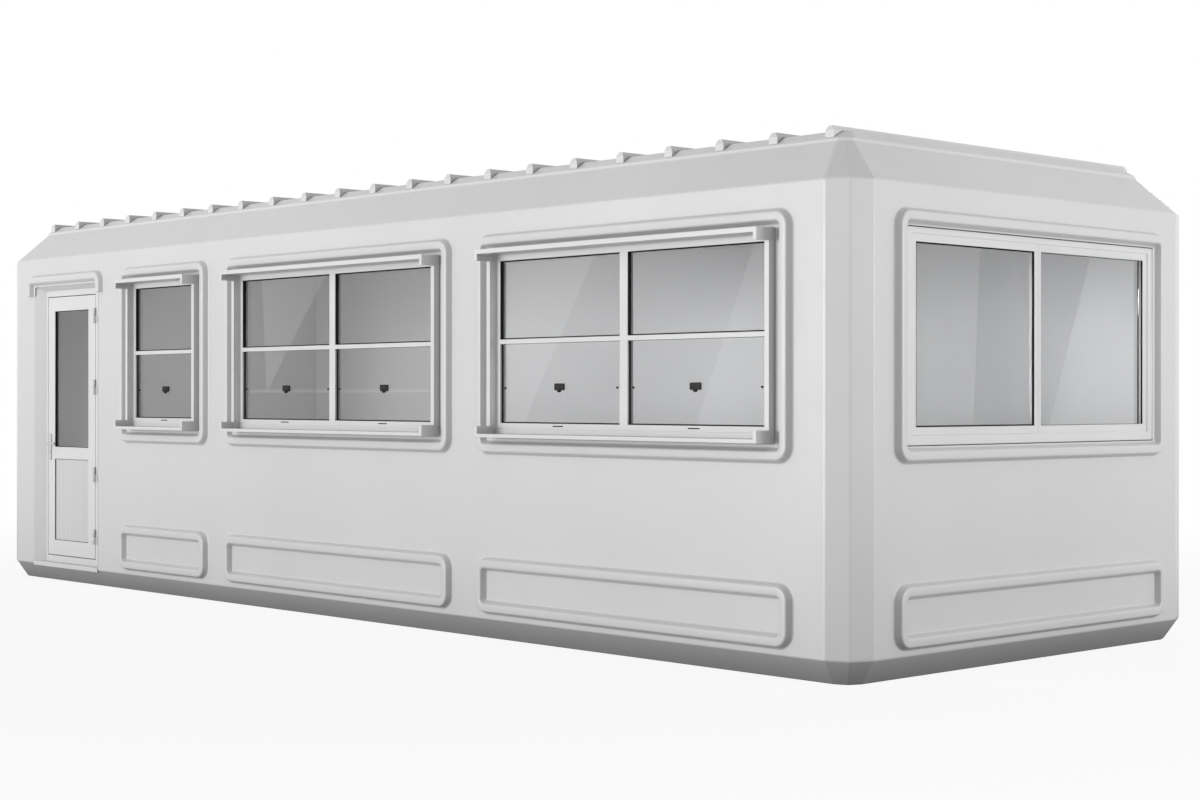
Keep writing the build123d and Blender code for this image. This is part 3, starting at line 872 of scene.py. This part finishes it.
latch_work, bolt_work, slot_shade_work = bmesh.new(), bmesh.new(), bmesh.new()
for low, high in islands("window_latches"):
    across = (low.x + high.x) / 2
    width, height = high.x - low.x, high.z - low.z
    case = height * LATCH_CASE_SHARE
    out = -high.y - long_face
    middle = high.z - case / 2
    add_pad(latch_work, "front", across, middle, width, case, 0.006,
            crown(out, CASE_RISE, 0.0025))
    add_pad(latch_work, "front", across, middle, width * 0.62, case * 0.55, 0.004,
            crown(out + CASE_RISE - 0.0005, 0.002, 0.001))
    knob = low.z + KNOB_FROM_FOOT
    add_pad(latch_work, "front", across, knob, KNOB, KNOB, 0.0108,
            crown(out, KNOB_RISE, 0.003))
    add_pad(latch_work, "front", across, knob, 0.018, 0.005, 0.002,
            crown(out + KNOB_RISE - 0.0005, 0.001, 0.0006))
    bolt_height = (low.z + high.z) / 2
    for name in FRONT_WINDOWS:
        for start, end in islands(name + "_glass"):
            if start.x < across < end.x and start.z < bolt_height < end.z:
                for place in (start.x + BOLT_FROM_EDGE, end.x - BOLT_FROM_EDGE):
                    add_pad(bolt_work, "front", place, bolt_height, BOLT, BOLT, 0.0058,
                            crown(out, 0.007, 0.002))
                # A drain slot is a thin black pad on the rail: the dark inside the slot is
                # painted shade.
                add_pad(slot_shade_work, "front", across, start.z - SLOT_DROP, SLOT_LENGTH,
                        SLOT_HEIGHT, 0.0029, crown(-0.0052, 0.001, 0.0004))
latches = new_piece("latches", latch_work, black)
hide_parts("window_latches")
new_piece("pane_bolts", bolt_work, black)
new_piece("drain_slot_shade", slot_shade_work, rubber)
print("latches, bolts and slots")

# %% [markdown]
# ## Door handle
# The lever is a bent round bar, finished in pale lacquer. A tube is carried along a path
# whose one corner is rounded, and its free end closes in a dome. The plate behind it has
# a collar round the spindle, two screws and the key cylinder.

# %% Lever and plate
LEVER_RADIUS = 0.009
LEVER_BEND = 0.020
TUBE_SIDES = 24


def add_tube(work, path, radius, dome_steps=5):
    """A round bar along a path, with a dome on its last end and a flat first end."""
    points = [Vector(point) for point in path]
    direction = (points[1] - points[0]).normalized()
    side = direction.orthogonal().normalized()
    rows = []

    def circle(centre, forward, size):
        across = forward.cross(side).normalized()
        rows.append([work.verts.new(centre + size * (
            side * math.cos(turn) + across * math.sin(turn)))
            for turn in [2 * math.pi * k / TUBE_SIDES for k in range(TUBE_SIDES)]])

    for index, point in enumerate(points):
        before = points[max(index - 1, 0)]
        after = points[min(index + 1, len(points) - 1)]
        forward = (after - before).normalized()
        side = (side - forward * side.dot(forward)).normalized()
        circle(point, forward, radius)
    for step in range(1, dome_steps):
        angle = math.pi / 2 * step / dome_steps
        circle(points[-1] + forward * radius * math.sin(angle), forward,
               radius * math.cos(angle))
    skin_between(work, rows, True)
    work.faces.new(rows[0][::-1])
    work.faces.new(rows[-1])


lever_low, lever_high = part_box("door_lever")
plate_low, plate_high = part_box("door_handle_plate")
axle = (plate_low.x + plate_high.x) / 2
lever_z = (lever_low.z + lever_high.z) / 2
lever_back = lever_high.y
lever_front = lever_low.y + LEVER_RADIUS
lever_tip = lever_high.x - LEVER_RADIUS
work = bmesh.new()
add_tube(work, rounded_path([(axle, lever_back, lever_z), (axle, lever_front, lever_z),
                             (lever_tip, lever_front, lever_z)], LEVER_BEND, 8),
         LEVER_RADIUS)
lever = new_piece("lever_bar", work, lacquer, "lever", smooth=50)
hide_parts("door_lever")

PLATE_THICK = 0.008
COLLAR = 0.026
KEY_DROP = 0.064
SCREW = 0.008
SCREW_FROM_END = 0.012
plate_face = -plate_high.y - long_face
plate_width = plate_high.x - plate_low.x
plate_height = plate_high.z - plate_low.z
work = bmesh.new()
add_pad(work, "front", axle, (plate_low.z + plate_high.z) / 2, plate_width, plate_height,
        0.008, crown(plate_face, PLATE_THICK, 0.003))
add_pad(work, "front", axle, lever_z, COLLAR, COLLAR, 0.0128,
        crown(plate_face + PLATE_THICK - 0.001, 0.0035, 0.0015))
add_pad(work, "front", axle, lever_z - KEY_DROP, 0.017, 0.030, 0.0084,
        crown(plate_face + PLATE_THICK - 0.001, 0.005, 0.001))
screw_heights = (plate_low.z + SCREW_FROM_END, plate_high.z - SCREW_FROM_END)
for up in screw_heights:
    add_pad(work, "front", axle, up, SCREW, SCREW, 0.0039,
            crown(plate_face + PLATE_THICK - 0.0005, 0.0015, 0.0012))
plate = new_piece("handle_plate", work, lacquer, "door")
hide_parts("door_handle_plate")
# The key's slot and the screws' slots are thin black pads: the dark inside them is painted
# shade.
work = bmesh.new()
key_face = plate_face + PLATE_THICK + 0.004
add_pad(work, "front", axle, lever_z - KEY_DROP + 0.004, 0.0022, 0.009, 0.001,
        crown(key_face - 0.001, 0.0012, 0.0002))
for up in screw_heights:
    add_pad(work, "front", axle, up, 0.005, 0.001, 0.0004,
            crown(plate_face + PLATE_THICK + 0.0006, 0.0006, 0.0002))
new_piece("key_and_screw_slot_shade", work, rubber, "door")
print("lever", round(lever_tip - axle, 3), "m long, plate", round(plate_height, 3))

# %% [markdown]
# ## Hinge screws and seals
# Each hinge leaf is held by two countersunk screws. A soft seal runs round the door stop,
# which is why the gap round the leaf looks black.

# %% Hinge screws and door seal
HINGE_SCREW = 0.007
HINGE_LEAF_THICK = 0.003
PIN_LEAF_HEIGHT = 0.054
HINGE_SCREW_INSET = 0.009
for node, body, side in (("door_hinge_knuckles", "door", -1),
                         ("door_hinge_pins", "cabin", 1)):
    work = bmesh.new()
    for low, high in islands(node):
        edge = low.x if side < 0 else high.x
        height = high.z - low.z if side < 0 else PIN_LEAF_HEIGHT
        for share in (0.25, 0.75):
            add_pad(work, "front", edge - side * HINGE_SCREW_INSET,
                    low.z + height * share, HINGE_SCREW, HINGE_SCREW, 0.0034,
                    crown(plate_face + HINGE_LEAF_THICK - 0.0005, 0.0014, 0.0011))
    new_piece(node.replace("door_hinge", "screws"), work, lacquer, body)

leaf_low, leaf_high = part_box("door_leaf")
stop_front = -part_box("door_stop")[0].y - long_face
work = bmesh.new()
add_loop(work, "front", (leaf_low.x, leaf_high.x, leaf_low.z, leaf_high.z),
         [(-0.003, stop_front), (0.009, stop_front), (0.010, stop_front + 0.002),
          (0.006, stop_front + 0.0042), (0.0, stop_front + 0.0042),
          (-0.003, stop_front + 0.003)])
new_piece("door_seal", work, rubber)
print("screws and seal")

# %% [markdown]
# ## Sealant
# A bead of white sealant closes the joint between each window frame and the box or
# opening round it. It is a fine line, but it makes a window look fitted. The section is
# a small hollow fillet, carried round the frame by the mitred loop.

# %% Sealant lines
SEALANT = 0.006
BOX_JOINT = 0.004


def sealant(inner, face):
    """A hollow fillet between a frame's face and the side that stands round it."""
    return [(0.0, face), (inner, face), (inner * 0.45, face + inner * 0.2),
            (inner * 0.2, face + inner * 0.45), (0.0, face + inner)]


work = bmesh.new()
for name in FRONT_WINDOWS:
    low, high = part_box(name + "_frame")
    add_loop(work, "front", pane_rectangle("front", low, high),
             sealant(SEALANT, face_out("front", low, high) - BOX_JOINT))
low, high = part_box("right_window_frame")
add_loop(work, "right", pane_rectangle("right", low, high),
         sealant(SEALANT, face_out("right", low, high)))
new_piece("sealant", work, profile)
print("sealant round four windows")

# %% [markdown]
# ## Floor, backdrop and light
# The photograph is a cut-out on pure white, lit softly from the front left and from the
# right, so that the front and the end are bright and the facets of the corner between
# them are darker. The floor looks white to the camera. To all other rays it glows as
# painted light, with a painted shadow: dark close to the cabin and brighter with the
# distance, so the walls fade towards their foot and the underside stays dark.

# %% Floor
FLOOR_SIZE = 60
floor_work = bmesh.new()
bmesh.ops.create_grid(floor_work, x_segments=8, y_segments=8, size=FLOOR_SIZE)
floor_mesh = bpy.data.meshes.new("studio_floor")
floor_work.to_mesh(floor_mesh)
floor_work.free()
studio_floor = bpy.data.objects.new("studio_floor", floor_mesh)
studio_floor.location.z = -0.001
bpy.context.scene.collection.objects.link(studio_floor)

GLOW_DARK = 0.04
GLOW_WHITE = 0.70
GLOW_NEAR = 2.2
GLOW_FAR = 7.5
FLAT_OVAL = 2.2
SHADOW_SHARE = 0.10
SHADOW_NEAR = 5.0
SHADOW_FAR = 11.0
floor_paint = finish("floor_paint", (0, 0, 0), 1.0, Emission_Color=(1, 1, 1, 1))
white = add_node(floor_paint, "ShaderNodeEmission", Color=(1, 1, 1, 1), Strength=1.0)
pale = add_node(floor_paint, "ShaderNodeBsdfDiffuse", Color=(0.9, 0.9, 0.9, 1))
seen = add_node(floor_paint, "ShaderNodeMixShader")
wire(floor_paint, pale.outputs["BSDF"], seen.inputs[1])
wire(floor_paint, white.outputs["Emission"], seen.inputs[2])

# A faint shadow is left round the cabin. It fades out with the distance, so the floor
# has no edge.
spot = add_node(floor_paint, "ShaderNodeTexCoord")
reach = add_node(floor_paint, "ShaderNodeVectorMath")
reach.operation = "LENGTH"
wire(floor_paint, spot.outputs["Object"], reach.inputs[0])
fade = add_node(floor_paint, "ShaderNodeMapRange", From_Min=SHADOW_NEAR,
                From_Max=SHADOW_FAR, To_Min=1 - SHADOW_SHARE, To_Max=1.0)
wire(floor_paint, reach.outputs["Value"], fade.inputs["Value"])
wire(floor_paint, fade.outputs["Result"], seen.inputs["Fac"])

# The painted glow, dark round the cabin as a painted shadow, follows an oval, because the
# cabin is longer than it is wide.
oval = add_node(floor_paint, "ShaderNodeMapping", Scale=(1 / FLAT_OVAL, 1, 1))
away = add_node(floor_paint, "ShaderNodeVectorMath")
away.operation = "LENGTH"
glow = add_node(floor_paint, "ShaderNodeMapRange", From_Min=GLOW_NEAR, From_Max=GLOW_FAR,
                To_Min=GLOW_DARK, To_Max=GLOW_WHITE)
wire(floor_paint, spot.outputs["Object"], oval.inputs["Vector"])
wire(floor_paint, oval.outputs["Vector"], away.inputs[0])
wire(floor_paint, away.outputs["Value"], glow.inputs["Value"])
wire(floor_paint, glow.outputs["Result"],
     principled(floor_paint).inputs["Emission Strength"])


def for_rays(material, *kinds):
    """1 for the named kinds of rays, 0 for all others."""
    ray = add_node(material, "ShaderNodeLightPath")
    found = ray.outputs[kinds[0]]
    for kind in kinds[1:]:
        either = add_node(material, "ShaderNodeMath")
        either.operation = "MAXIMUM"
        wire(material, found, either.inputs[0])
        wire(material, ray.outputs[kind], either.inputs[1])
        found = either.outputs[0]
    return found


split = add_node(floor_paint, "ShaderNodeMixShader")
wire(floor_paint, for_rays(floor_paint, "Is Camera Ray", "Is Transmission Ray"),
     split.inputs["Fac"])
wire(floor_paint, principled(floor_paint).outputs["BSDF"], split.inputs[1])
wire(floor_paint, seen.outputs["Shader"], split.inputs[2])
wire(floor_paint, split.outputs["Shader"],
     floor_paint.node_tree.nodes["Material Output"].inputs["Surface"])
floor_mesh.materials.append(floor_paint)
print("floor glows from", GLOW_DARK, "to", GLOW_WHITE)

# %% [markdown]
# ## World
# The world is the white background, and at the same time the soft light from all sides.
# As a background it has to be full white, which would be too much as light. A Light Path
# node tells the two apart, so that only its light is turned down.

# %% World
FILL = 0.31
world = bpy.data.worlds.new("studio_world")
world.use_nodes = True
bpy.context.scene.world = world
sky = world.node_tree.nodes["Background"]
sky.inputs["Color"].default_value = (1, 1, 1, 1)
strength = add_node(world, "ShaderNodeMapRange", To_Min=FILL, To_Max=1.0)
wire(world, for_rays(world, "Is Camera Ray", "Is Glossy Ray", "Is Transmission Ray"),
     strength.inputs["Value"])
wire(world, strength.outputs["Result"], sky.inputs["Strength"])
print("white world, fill", FILL)

# %% [markdown]
# ## Lamps
# A large soft lamp far to the front left and a smaller one off the right end light the two
# faces that show. One behind does the same for the back. A weak lamp inside lights the
# room's back wall, which shows dimly through the panes. The lamp itself is hidden from
# the camera, from mirrors and from glass.

# %% Lamps


def soft_lamp(name, place, aim, size, power):
    lamp = bpy.data.lights.new(name, "AREA")
    lamp.shape = "RECTANGLE"
    lamp.size, lamp.size_y = size
    lamp.energy = power
    holder = bpy.data.objects.new(name, lamp)
    holder.location = place
    look = Vector(aim) - Vector(place)
    holder.rotation_euler = look.to_track_quat("-Z", "Y").to_euler()
    bpy.context.scene.collection.objects.link(holder)
    print(name, power, "W")
    return holder


soft_lamp("front_lamp", (-7.0, -26.0, 2.2), (0.8, -1.5, 1.3), (12.0, 5.5), 4250)
soft_lamp("end_lamp", (15.5, 4.2, 2.6), (4.2, 0.0, 1.4), (6.0, 4.0), 800)
soft_lamp("back_lamp", (-9.0, 17.0, 5.0), (-1.0, 1.5, 1.3), (9.0, 6.0), 1500)
room_lamp = soft_lamp("room_lamp", (-1.5, -0.75, 1.95), (-1.6, 1.4, 1.2), (3.4, 0.7), 19)
for sight in ("visible_camera", "visible_glossy", "visible_transmission"):
    setattr(room_lamp, sight, False)

# %% [markdown]
# ## What the glass mirrors
# The photograph's panes show the studio: bright zones with slanted edges and dimmer ones
# between them. A mirror shows what stands on the line from the camera's mirror image
# through the pane. So each dim zone is drawn on the pane first, and that line carries its
# corners out to a grey card that only mirror rays can see.

# %% Grey cards
CARD_GREY = 0.18
MIRROR_PLANES = {"front": ("window_2_glass", 4.5), "right": ("right_window_glass", 4.0)}
card_paint = finish("card_paint", (0.0, 0.0, 0.0), 1.0, Emission_Strength=1.0,
                    Emission_Color=(CARD_GREY, CARD_GREY, CARD_GREY, 1))

# Corners as (along the wall, height), in metres, on the face of the glass.
DIM_ZONES = {
    "door_and_first_window": ("front", [(-3.9, 2.3), (-1.2, 2.3), (-1.2, 1.1),
                                        (-3.9, 0.9)]),
    "second_window_left": ("front", [(-1.2, 2.3), (-0.76, 2.3), (-0.69, 1.42),
                                     (-1.2, 1.42)]),
    "second_window_right": ("front", [(0.11, 2.3), (1.3, 2.3), (1.3, 1.42),
                                      (-0.67, 1.42)]),
    "second_window_low": ("front", [(-1.2, 1.40), (1.3, 1.40), (1.3, 1.1),
                                    (-1.2, 1.1)]),
    "third_window": ("front", [(2.50, 2.27), (3.64, 2.3), (3.11, 1.1), (1.76, 1.1)]),
    "end_window": ("right", [(-0.47, 2.3), (0.62, 2.3), (0.10, 1.1), (-0.55, 1.1)]),
}


def dim_card(name, wall, corners):
    """A card whose mirror image covers a zone of the glass on that wall."""
    node, distance = MIRROR_PLANES[wall]
    along, face, outward = WALLS[wall]
    glass_low, glass_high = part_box(node)
    glass_out = face_out(wall, glass_low, glass_high)
    pane_face = face + outward * glass_out
    height_off = (Vector(EYE) - pane_face).dot(outward)
    mirrored = Vector(EYE) - outward * 2 * height_off
    work = bmesh.new()
    points = []
    for x, z in corners:
        aim = on_wall(wall, x, z, glass_out) - mirrored
        points.append(work.verts.new(mirrored + aim * (1 + distance / height_off)))
    work.faces.new(points)
    mesh = bpy.data.meshes.new("card_" + name)
    work.to_mesh(mesh)
    work.free()
    mesh.materials.append(card_paint)
    card = bpy.data.objects.new("card_" + name, mesh)
    bpy.context.scene.collection.objects.link(card)
    for sight in ("visible_camera", "visible_diffuse", "visible_transmission",
                  "visible_shadow"):
        setattr(card, sight, False)
    return card


for name, (wall, corners) in DIM_ZONES.items():
    dim_card(name, wall, corners)
print(len(DIM_ZONES), "cards")
